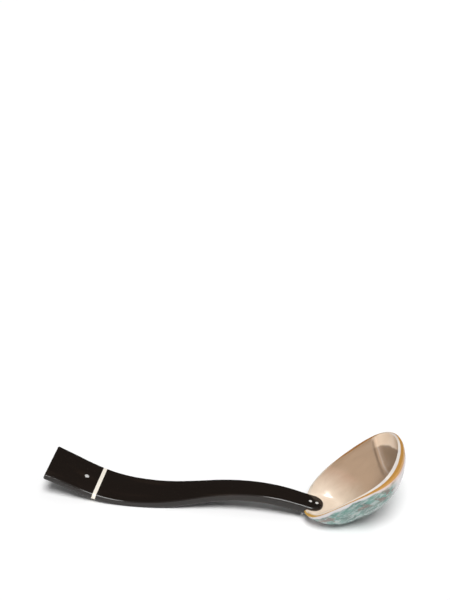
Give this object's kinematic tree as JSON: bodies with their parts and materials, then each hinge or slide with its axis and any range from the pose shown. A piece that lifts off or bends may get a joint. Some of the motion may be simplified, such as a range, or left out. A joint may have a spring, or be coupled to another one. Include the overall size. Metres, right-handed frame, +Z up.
{
  "type": "serving spoon",
  "caption": "Serving spoon with a deep sea-shell bowl, pinned to a curved black horn handle with a bone band near its butt.",
  "frame": {"origin": "bottom centre of the whole spoon's box, on the surface that it rests on", "axes": "+X from the butt to the bowl, along the spoon's length; +Z up as the spoon rests on a table, bowl open upwards; +Y to its left as seen from the butt"},
  "size_m": [0.2502, 0.0602, 0.0611],
  "materials": {
    "sea_shell": "polished sea shell, cream inside, pearly white with teal and brown mottling outside, ochre line at the rim",
    "black_horn": "polished black horn with faint brown streaks",
    "bone": "smooth cream bone",
    "white_metal": "filed flush, satin"
  },
  "bodies": {
    "root": {"shell_bowl": "sea_shell", "handle_blade": "black_horn", "bone_band": "bone", "butt_cap": "black_horn", "butt_pin": "white_metal", "bowl_pin_rear": "white_metal", "bowl_pin_front": "white_metal"}
  },
  "joints": []
}
